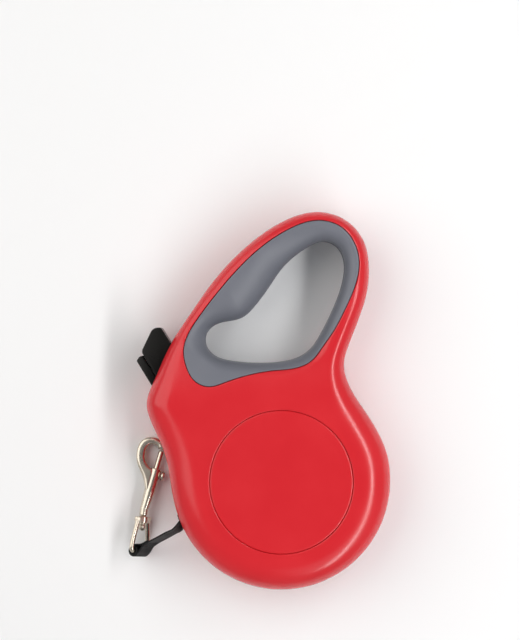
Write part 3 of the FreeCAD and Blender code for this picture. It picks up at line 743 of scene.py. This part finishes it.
# ---------------------------------------------------------------- tape
# EYE is the middle of the swivel's bar. BAR runs along the bar, and SHANK from the bar to the hook.
EYE = Vector((-65.5, -34.0, 7.0))
SHANK = Vector((0.112814, 0.990159, -0.082808))
RIGHT = Vector((0.993572, -0.113203, 0.0))
UPWARD = RIGHT.cross(SHANK).normalized()
BAR = (RIGHT * 0.5 - UPWARD * 0.8660254).normalized()
gate = MOUTH + Vector((0, 0, MID))
ahead = EYE - gate
toward = (ahead - BAR * ahead.dot(BAR)).normalized()
flat = toward.cross(BAR).normalized()
if flat.dot(Vector((-ahead.y, ahead.x, 0))) < 0:
    flat = -flat


def beside(x, y):
    """A point of the loop's own plane: x beyond the bar, y off to its side."""
    return EYE + toward * x + flat * y


route = [START + Vector((0, 0, MID)) + WAY * s for s in (1.0, 8.0, 15.0, 22.0, 27.0, 31.0, 34.0)]
route.append(gate + WAY * 1.6 + Vector((0, 0, -0.12)))
first = gate + WAY * 3.1 + Vector((-0.45, -0.05, -0.6))
last = beside(-8.6, 0.38)
route += [first] + [first.lerp(last, t) for t in (0.2, 0.4, 0.6, 0.8)] + [last]
route += [beside(-7.4, 0.38), beside(-6.2, 0.40), beside(-4.9, 0.62), beside(-3.6, 1.20),
          beside(-2.2, 1.92)]
LOOP = 2.42
route += [beside(LOOP * math.cos(math.radians(a)), LOOP * math.sin(math.radians(a)))
          for a in range(110, -115, -20)]
route += [beside(-2.2, -1.92), beside(-3.6, -1.20), beside(-4.9, -0.62), beside(-6.2, -0.40),
          beside(-7.4, -0.38), beside(-8.5, -0.38)]
line = open_spline([tuple(p) for p in route], 460)
run = unit(np.gradient(line, axis=0))
travelled = travel(line)
where_gate = travelled[np.argmin(np.linalg.norm(line - np.array(gate), axis=1))]
beyond = (line - np.array(EYE)) @ np.array(toward)
# the tape leaves the mouth on edge and twists until it lies along the bar
turn = ease(travelled, where_gate - 4.0, where_gate + 5.0)[:, None]
across = np.array([0, 0, 1.0]) * (1 - turn) + np.array(-BAR) * turn
across -= run * (across * run).sum(1)[:, None]
across = unit(across)
thick = np.cross(run, across)


def webbing(half_wide, half_thick, ribs=13, depth=0.035):
    """Section of woven tape: rounded selvedges and a row of fine cords between them."""
    pts = []
    flat_half = half_wide - half_thick
    count = ribs * 4
    for k in range(count + 1):
        w = flat_half - 2 * flat_half * k / count
        pts.append((w, half_thick - depth * (1 - math.cos(2 * math.pi * k * ribs / count)) / 2))
    for k in range(1, 6):
        a = math.pi / 2 + math.pi * k / 6
        pts.append((-flat_half + half_thick * math.cos(a), half_thick * math.sin(a)))
    return pts + [(-w, -t) for w, t in pts]


tape = swept("lead_tape_run", line, webbing(half_wide=5.0, half_thick=0.34), across, thick)
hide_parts("lead_tape")

# lining of the loop, round the bar
bend, half = 1.72, 0.33
inner_wrap = lathe("lead_tape_lining", [(bend - half, -4.9), (bend - half, 4.9),
                                        (bend - half * 0.6, 5.0), (bend + half * 0.6, 5.0),
                                        (bend + half, 4.85)]
                   + [(bend + half - 0.02 * (k % 2), 4.85 - 9.7 * k / 40) for k in range(1, 40)]
                   + [(bend + half, -4.85), (bend + half * 0.6, -5.0), (bend - half * 0.6, -5.0)],
                   axes(EYE, toward, flat, toward.cross(flat)), 60)
piece(inner_wrap, "lead", "tape_black")

# thread that sews the tape's two layers together, in a crossed box on each side
stitch_v, stitch_f = [], []


def stitch(a, b, normal, rad=0.15):
    """One stitch: a short thread that dives into the tape at both ends."""
    a, b, n = Vector(a), Vector(b), Vector(normal)
    d = (b - a).normalized()
    s = n.cross(d).normalized()
    base = len(stitch_v)
    steps, sides = 8, 8
    for k in range(steps + 1):
        t = k / steps
        c = a.lerp(b, t) + n * (0.20 * math.sin(math.pi * t) - 0.12)
        for j in range(sides):
            q = 2 * math.pi * j / sides
            stitch_v.append(tuple(c + s * (rad * math.cos(q)) + n * (rad * math.sin(q))))
    for k in range(steps):
        for j in range(sides):
            i, m = base + k * sides, (j + 1) % sides
            stitch_f.append([i + j, i + m, i + sides + m, i + sides + j])
    stitch_f.append([base + j for j in range(sides)][::-1])
    stitch_f.append([base + steps * sides + j for j in range(sides)])


tip = int(np.argmax(beyond))


def on_tape(side, x, w):
    """A point on the outer face of the tape's near or far layer, and the way out of it."""
    span = np.arange(0, tip) if side == 0 else np.arange(tip, len(line))
    i = span[np.argmin(np.abs(beyond[span] - x))]
    out = thick[i] * (1 if (thick[i] @ np.array(flat)) * (1 - 2 * side) > 0 else -1)
    return Vector(line[i] + across[i] * w + out * 0.33), Vector(out)


def sew(side, x0, w0, x1, w1):
    """A stitch between two points on one side of the tape."""
    a, out = on_tape(side, x0, w0)
    b = on_tape(side, x1, w1)[0]
    stitch(a, b, out)


for side in (0, 1):
    for w in (-3.9, 3.9):
        for k in range(3):
            sew(side, -8.1 + k * 1.15, w, -7.15 + k * 1.15, w)
    for x in (-8.1, -4.9):
        for k in range(6):
            sew(side, x, -3.6 + k * 1.22, x, -2.6 + k * 1.22)
    for k in range(3):
        t = k / 3
        for way in (-1, 1):
            sew(side, -7.9 + 2.8 * t, way * (-3.2 + 6.4 * t), -7.9 + 2.8 * (t + 0.26),
                way * (-3.2 + 6.4 * (t + 0.26)))
stitches = solid("lead_tape_stitches", stitch_v, stitch_f)
piece(stitches, "lead", "tape_black")

# ---------------------------------------------------------------- eye of the swivel
EYE_AT = axes(EYE, BAR, SHANK, BAR.cross(SHANK))
ALONG = Matrix.Rotation(-math.pi / 2, 4, "X")    # turns a lathe's axis onto local y
half_route = [(-3.95, 14.2), (-4.9, 10.2), (-5.9, 6.4), (-6.4, 4.2), (-6.55, 2.4), (-6.35, 0.95),
              (-5.5, 0.12), (-4.2, 0.0), (-2.0, 0.0)]
bow = half_route + [(0.0, 0.0)] + [(-x, y) for x, y in half_route[::-1]]
bow_line = open_spline([(x, y, 0.0) for x, y in bow], 150)
bow_run = unit(np.gradient(bow_line, axis=0))
bow_up = np.tile([0, 0, 1.0], (len(bow_line), 1))
eye = swept("swivel_eye_cast", bow_line, ring_points(1.13, 24), np.cross(bow_run, bow_up), bow_up,
            EYE_AT)
block = prism("block", rounded([(-4.8, 13.0), (4.8, 13.0), (4.8, 15.8), (-4.8, 15.8)], 1.0),
              -1.68, 1.68, EYE_AT)
bevel(block, 0.6, 3)
collar = lathe("collar", [(0, 12.75), (2.2, 12.75), (2.45, 13.0), (2.45, 15.7), (2.25, 15.95),
                          (0, 15.95)], EYE_AT @ ALONG, 48)
combine(eye, [block, collar], "UNION")
hole = lathe("hole", [(0, 9.0), (1.34, 9.0), (1.34, 20.0), (0, 20.0)],
             EYE_AT @ ALONG, 48)
combine(eye, [hole], "DIFFERENCE")
cast(eye, voxel=0.13, rounds=7)
piece(eye, "eye", "nickel", "swivel_eye")

# ---------------------------------------------------------------- hook, its bolt and knob
BALL = EYE + SHANK * 10.9
HOOK_AT = axes(BALL, RIGHT, SHANK, UPWARD)
TUBE_AT = HOOK_AT @ move(-1.39, 0) @ Matrix.Rotation(-math.radians(10.0), 4, "Z")
BORE_RAD = 1.46
ring_outer = [(0.6, 14.0), (-0.35, 16.8), (-1.25, 20.0), (-2.6, 23.7), (-4.5, 26.8),
              (-5.8, 29.6), (-6.4, 32.4), (-6.45, 35.2), (-5.8, 37.9), (-4.5, 40.0), (-2.5, 41.4),
              (0.2, 41.9), (2.9, 41.4), (4.9, 40.1), (6.25, 38.2), (6.66, 36.2)]
ring_inner = [(3.38, 36.75), (3.0, 37.7), (1.9, 38.4), (0.5, 38.6), (-0.9, 38.0), (-1.9, 36.6),
              (-2.35, 34.6), (-2.3, 32.4), (-1.6, 30.3), (-0.4, 28.6), (1.0, 27.6)]
shape = open_spline(ring_outer, 110).tolist() + open_spline(ring_inner, 60).tolist()
shape += [(2.4, 27.2), (2.4, 24.0), (1.2, 17.5)]
hook = crowned("hook_body_cast", shape, 2.5, 1.5, 1.3, HOOK_AT, 0.3)
tube = lathe("tube", [(0, 8.6), (1.7, 8.6), (1.95, 8.9), (2.2, 12.2), (2.5, 16.0), (2.6, 17.4),
                      (2.6, 27.4), (2.45, 27.85), (2.2, 28.0), (0, 28.0)], TUBE_AT @ ALONG, 64)
barrel = lathe("barrel", [(0, 5.4), (1.55, 5.4), (1.8, 5.55), (1.9, 5.85), (1.9, 9.3), (1.6, 10.0),
                          (0, 10.4)], HOOK_AT @ ALONG, 56)
pin = lathe("pin", [(0, 0), (1.18, 0), (1.18, 6.0), (0, 6.0)], HOOK_AT @ ALONG, 40)
ball = lathe("ball", [(1.7 * math.sin(math.radians(a)), -1.7 * math.cos(math.radians(a)))
                      if 0 < a < 180 else (0, -1.7 if a == 0 else 1.7)
                      for a in range(0, 181, 9)], HOOK_AT, 40)
combine(hook, [tube, barrel, pin, ball], "UNION")
bore = lathe("bore", [(0, 15.0), (BORE_RAD, 15.0), (BORE_RAD, 31.4), (0, 31.4)],
             TUBE_AT @ ALONG, 40)
window = prism("window", [(0, 18.2), (6.0, 18.2), (6.0, 26.7), (0, 26.7)], -1.0, 1.0, TUBE_AT)
combine(hook, [bore, window], "DIFFERENCE")
cast(hook, voxel=0.13, rounds=5)
piece(hook, "hook", "nickel", "hook_body")

bolt = lathe("hook_bolt_pin", [(0, 24.3), (1.1, 24.3), (1.3, 24.5), (1.3, 35.5), (1.24, 36.0),
                               (1.05, 36.38), (0.7, 36.55), (0, 36.6)], TUBE_AT @ ALONG, 50)
# the knob is turned a little about its own axis, so that its facets don't meet the bolt's in line
SIDEWAYS = (TUBE_AT @ move(0, 25.5) @ Matrix.Rotation(math.pi / 2, 4, "Y")
            @ Matrix.Rotation(0.02, 4, "Z"))
knob = lathe("knob", [(0, 0), (0.72, 0), (0.72, 2.75), (0.95, 2.95), (1.75, 3.02), (2.05, 3.15),
                      (2.2, 3.4), (2.2, 4.15), (2.08, 4.43), (1.8, 4.58), (1.35, 4.6),
                      (0.9, 4.5), (0.45, 4.42), (0, 4.4)], SIDEWAYS, 56)
combine(bolt, [knob], "UNION")
crease(bolt, 40)
piece(bolt, "bolt", "nickel", "hook_bolt")

# the bolt's spring: nine turns of wire in the tube's bore
turns, per_turn, coil_rad, wire_rad, rise, foot = 9, 20, 1.05, 0.18, 0.8, 15.75
turn = np.linspace(0, turns, turns * per_turn + 1)
radial = np.stack([np.cos(2 * math.pi * turn), 0 * turn, np.sin(2 * math.pi * turn)], 1)
coil = [Vector(p) for p in coil_rad * radial + np.outer(foot + rise * turn, (0, 1, 0))]
spring = swept("bolt_spring_coil", coil, ring_points(wire_rad, 8), [Vector(p) for p in radial],
               [Vector((0, 1, 0))] * len(coil), TUBE_AT)
crease(spring, 50)
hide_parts("bolt_spring")

pivot = lathe("lock_pivot_pin", [(0, 5.0), (1.0, 5.0), (1.23, 5.25), (1.23, 28.6), (1.0, 28.85),
                                 (0, 28.85)], move(-54.467, 39.248), 40)
crease(pivot, 40)
piece(pivot, "casing", "steel", "lock_pin")

# ---------------------------------------------------------------- screws that hold the casing
screws = []
for x, y, seat in SCREWS:
    thread = [(0, seat + 12.0), (0.5, seat + 11.6)]
    rad, z = 1.0, seat + 11.0
    while z > seat + 0.6:
        thread += [(rad, z), (rad - 0.22, z - 0.3)]
        z -= 0.6
    head = [(1.0, seat - 0.02), (2.02, seat - 0.05), (2.08, seat - 0.2), (2.08, seat - 0.62),
            (1.98, seat - 0.86), (1.6, seat - 1.05), (0.9, seat - 1.16), (0, seat - 1.18)]
    screw = lathe("screw", thread + head, move(x, y), 40)
    cuts = [prism("recess", [(-a, -b), (a, -b), (a, b), (-a, b)], seat - 2.0, seat - 0.55,
                  move(x, y) @ Matrix.Rotation(math.radians(20 + 31 * x), 4, "Z"))
            for a, b in ((1.25, 0.26), (0.26, 1.25))]
    screws.append(combine(screw, cuts, "DIFFERENCE"))
screw_set = screws[0]
combine(screw_set, screws[1:], "UNION")
screw_set.name = "case_screw_set"
crease(screw_set, 30)
piece(screw_set, "casing", "steel", "case_screws")

# ---------------------------------------------------------------- wound tape on the reel
low, high = (c * 1000 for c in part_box("tape_winding"))
outer_rad, inner_rad, tape_thick = high.x, 13.05, 0.72
turns = int((outer_rad - inner_rad) / tape_thick)
pitch = (outer_rad - inner_rad) / turns
edge = []
for k in range(turns):
    r = outer_rad - pitch * k
    edge += [(r, high.z - 0.22), (r - 0.12 * pitch, high.z), (r - 0.88 * pitch, high.z),
             (r - pitch + 0.001, high.z - 0.22)]
coil_profile = edge + [(r, low.z + high.z - z) for r, z in edge[::-1]]
winding = lathe("wound_tape", coil_profile, None, 120)
piece(winding, "reel", "tape_black", "tape_winding")

# ---------------------------------------------------------------- what each piece is made of
VISUAL = {"casing_red": [shell_front, shell_back, bpy.data.objects["side_cap_front"],
                         bpy.data.objects["side_cap_back"]],
          "grip_grey": [grip_front, grip_back], "black_plastic": [button, lock, liner],
          "nickel": [eye, hook, bolt], "steel": [screw_set, pivot], "spring_steel": [spring],
          "tape_black": [tape, inner_wrap, winding]}


# ---------------------------------------------------------------- materials
def shader_of(m):
    return m.node_tree.nodes["Principled BSDF"]


def material(name, colour, rough, metal=0.0):
    m = bpy.data.materials.new(name)
    m.use_nodes = True
    shader = shader_of(m)
    shader.inputs["Base Color"].default_value = (*colour, 1)
    shader.inputs["Roughness"].default_value = rough
    shader.inputs["Metallic"].default_value = metal
    return m


def noise(m, scale, detail=3.0, rough=0.5):
    """Noise in the object's own space; scale is per metre."""
    t = m.node_tree
    coord = t.nodes.new("ShaderNodeTexCoord")
    n = t.nodes.new("ShaderNodeTexNoise")
    n.inputs["Scale"].default_value = scale
    n.inputs["Detail"].default_value = detail
    n.inputs["Roughness"].default_value = rough
    t.links.new(coord.outputs["Object"], n.inputs["Vector"])
    return n.outputs["Fac"]


def to_range(m, socket, low, high, a, b):
    """A value that goes smoothly from low to high as the socket goes from a to b."""
    t = m.node_tree
    r = t.nodes.new("ShaderNodeMapRange")
    r.interpolation_type = "SMOOTHSTEP"
    r.inputs["From Min"].default_value = a
    r.inputs["From Max"].default_value = b
    r.inputs["To Min"].default_value = low
    r.inputs["To Max"].default_value = high
    t.links.new(socket, r.inputs["Value"])
    return r.outputs["Result"]


def bump(m, sockets):
    """A chain of bumps: (height socket, strength, distance in metres)."""
    t = m.node_tree
    normal = None
    for socket, strength, distance in sockets:
        b = t.nodes.new("ShaderNodeBump")
        b.inputs["Strength"].default_value = strength
        b.inputs["Distance"].default_value = distance
        t.links.new(socket, b.inputs["Height"])
        if normal:
            t.links.new(normal, b.inputs["Normal"])
        normal = b.outputs["Normal"]
    t.links.new(normal, shader_of(m).inputs["Normal"])


def mix_colour(m, socket, a, b):
    """Base colour from a, where the socket is 0, to b, where it is 1."""
    t = m.node_tree
    mix = t.nodes.new("ShaderNodeMix")
    mix.data_type = "RGBA"
    mix.inputs["A"].default_value = (*a, 1)
    mix.inputs["B"].default_value = (*b, 1)
    t.links.new(socket, mix.inputs["Factor"])
    t.links.new(mix.outputs["Result"], shader_of(m).inputs["Base Color"])


def plastic(name, dark, light, rough, grain=2600.0, grain_depth=0.00002, gloss=0.5):
    """Moulded plastic or rubber: broad faint clouding, and a fine grain of grain_depth metres."""
    m = material(name, light, rough)
    shader_of(m).inputs["Specular IOR Level"].default_value = gloss
    cloud = noise(m, 45.0)
    fine = noise(m, grain)
    mix_colour(m, to_range(m, cloud, 0, 1, 0.2, 0.8), dark, light)
    m.node_tree.links.new(to_range(m, cloud, rough - 0.035, rough + 0.045, 0.2, 0.8),
                          shader_of(m).inputs["Roughness"])
    bump(m, [(fine, 0.35, grain_depth)])
    return m


RED = plastic("moulded_red", (0.640, 0.016, 0.024), (0.675, 0.019, 0.027), 0.23, 900.0, 0.000006)
GREY = plastic("soft_grey", (0.146, 0.153, 0.182), (0.166, 0.173, 0.202), 0.45, 1500.0, 0.00006)
BLACK = plastic("satin_black", (0.0045, 0.0042, 0.0036), (0.007, 0.0066, 0.0058), 0.27, 1400.0,
                0.00002, 0.25)
ACETAL = plastic("natural_acetal", (0.60, 0.60, 0.57), (0.66, 0.66, 0.63), 0.40)


def metal(name, colour, rough):
    """Plated or plain metal, slightly uneven in polish."""
    m = material(name, colour, rough, 1.0)
    fine = noise(m, 700.0, 3.0, 0.6)
    cloud = noise(m, 60.0)
    m.node_tree.links.new(to_range(m, cloud, rough * 0.75, rough * 1.35, 0.2, 0.8),
                          shader_of(m).inputs["Roughness"])
    dark = tuple(c * 0.9 for c in colour)
    mix_colour(m, to_range(m, cloud, 0, 1, 0.2, 0.8), dark, colour)
    bump(m, [(fine, 0.2, 0.00002)])
    return m


NICKEL = metal("bright_nickel", (0.70, 0.625, 0.52), 0.24)
STEEL = metal("plain_steel", (0.56, 0.56, 0.57), 0.30)
SPRING = metal("spring_steel", (0.32, 0.33, 0.36), 0.33)


def woven(name, dark, light, along, over):
    """Close weave: threads over and under each other, with a little fuzz and uneven wear."""
    m = material(name, light, 0.62)
    t = m.node_tree
    shader = shader_of(m)
    shader.inputs["Specular IOR Level"].default_value = 0.3
    shader.inputs["Sheen Weight"].default_value = 0.03
    shader.inputs["Sheen Roughness"].default_value = 0.4
    coord = t.nodes.new("ShaderNodeTexCoord")

    def wave(direction, pitch):
        """A sine along a direction, with its pitch in metres."""
        dot = t.nodes.new("ShaderNodeVectorMath")
        dot.operation = "DOT_PRODUCT"
        dot.inputs[1].default_value = tuple(Vector(direction) * (2 * math.pi / pitch))
        t.links.new(coord.outputs["Object"], dot.inputs[0])
        sine = t.nodes.new("ShaderNodeMath")
        sine.operation = "SINE"
        t.links.new(dot.outputs["Value"], sine.inputs[0])
        return sine.outputs["Value"]

    cross = t.nodes.new("ShaderNodeMath")
    cross.operation = "MULTIPLY"
    t.links.new(wave(along, 0.0009), cross.inputs[0])
    t.links.new(wave(over, 0.00142), cross.inputs[1])
    fuzz = noise(m, 2400.0, 2.0)
    worn = noise(m, 160.0)
    mix_colour(m, to_range(m, cross.outputs["Value"], 0, 1, -1.0, 1.0), dark, light)
    t.links.new(to_range(m, worn, 0.55, 0.72, 0.2, 0.8), shader.inputs["Roughness"])
    bump(m, [(cross.outputs["Value"], 0.5, 0.00005), (fuzz, 0.3, 0.00004)])
    return m


TAPE = woven("woven_black", (0.003, 0.003, 0.0033), (0.008, 0.008, 0.009),
             ahead.normalized(), -BAR)
THREAD = plastic("sewing_thread", (0.010, 0.010, 0.011), (0.022, 0.022, 0.024), 0.55, 3000.0,
                 0.00004, 0.3)

FINISH = {"casing_red": RED, "grip_grey": GREY, "black_plastic": BLACK, "steel": STEEL,
          "spring_steel": SPRING, "nickel": NICKEL, "tape_black": TAPE, "inner_white": ACETAL}
slots = {p["node"]: p["material_slot"] for p in frame["record"]["subparts"]}
for name, obj in nodes.items():
    obj.data.materials.clear()
    obj.data.materials.append(FINISH[slots[name]])
for slot_name, made in VISUAL.items():
    for obj in made:
        obj.data.materials.clear()
        obj.data.materials.append(FINISH[slot_name])
stitches.data.materials.append(THREAD)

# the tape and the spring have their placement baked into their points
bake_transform(tape)
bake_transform(spring)

# ---------------------------------------------------------------- floor, light, camera
floor_mesh = bpy.data.meshes.new("floor")
floor_mesh.from_pydata([(-3, -3, 0), (3, -3, 0), (3, 3, 0), (-3, 3, 0)], [], [(0, 1, 2, 3)])
floor_obj = bpy.data.objects.new("floor", floor_mesh)
bpy.context.scene.collection.objects.link(floor_obj)
floor_mat = material("pale_floor", (0.91, 0.91, 0.91), 0.8)
floor_obj.data.materials.append(floor_mat)

world = bpy.data.worlds.new("studio")
bpy.context.scene.world = world
world.use_nodes = True
sky = world.node_tree
backdrop = sky.nodes["Background"]
backdrop.inputs["Strength"].default_value = 0.33
sky_at = sky.nodes.new("ShaderNodeTexCoord")
sky_split = sky.nodes.new("ShaderNodeSeparateXYZ")
sky_ramp = sky.nodes.new("ShaderNodeValToRGB")
sky.links.new(sky_at.outputs["Generated"], sky_split.inputs["Vector"])
sky.links.new(sky_split.outputs["Z"], sky_ramp.inputs["Fac"])
sky.links.new(sky_ramp.outputs["Color"], backdrop.inputs["Color"])
sky_ramp.color_ramp.elements[0].position = 0.35
sky_ramp.color_ramp.elements[0].color = (1.0, 1.0, 1.0, 1)
sky_ramp.color_ramp.elements[1].position = 0.92
sky_ramp.color_ramp.elements[1].color = (0.48, 0.49, 0.51, 1)


def lamp(name, at, towards, size_x, size_y, power, colour=(1, 1, 1)):
    """A soft box in metres, aimed at a point."""
    data = bpy.data.lights.new(name, "AREA")
    data.shape = "RECTANGLE"
    data.size = size_x
    data.size_y = size_y
    data.energy = power
    data.color = colour
    obj = bpy.data.objects.new(name, data)
    bpy.context.scene.collection.objects.link(obj)
    obj.location = at
    aim = Vector(towards) - Vector(at)
    obj.rotation_euler = aim.to_track_quat("-Z", "Y").to_euler()


lamp("key", (-0.58, 0.28, 0.62), (0, 0.03, 0), 1.0, 1.0, 5.0, (1.0, 0.98, 0.95))
lamp("fill", (0.3, -0.5, 0.7), (0, 0.03, 0), 0.5, 0.5, 0.5, (0.95, 0.97, 1.0))
lamp("strip", (0.39, 0.0, 0.57), (0.03, 0.02, 0.02), 1.5, 0.08, 4.6)

camera_data = bpy.data.cameras.new("camera")
camera = bpy.data.objects.new("camera", camera_data)
bpy.context.scene.collection.objects.link(camera)
bpy.context.scene.camera = camera
camera_data.sensor_fit = "VERTICAL"
SENSOR, LENS, VIEW_HEIGHT = 36.0, 100.0, 0.2925    # the view is this high at the parting plane
camera_data.sensor_height = SENSOR
camera_data.lens = LENS
camera.location = (-0.0096, 0.0727, MID * MM + VIEW_HEIGHT * LENS / SENSOR)
camera.rotation_euler = (0, 0, 0)
camera_data.clip_end = 10.0
bpy.context.scene.view_settings.view_transform = "Standard"
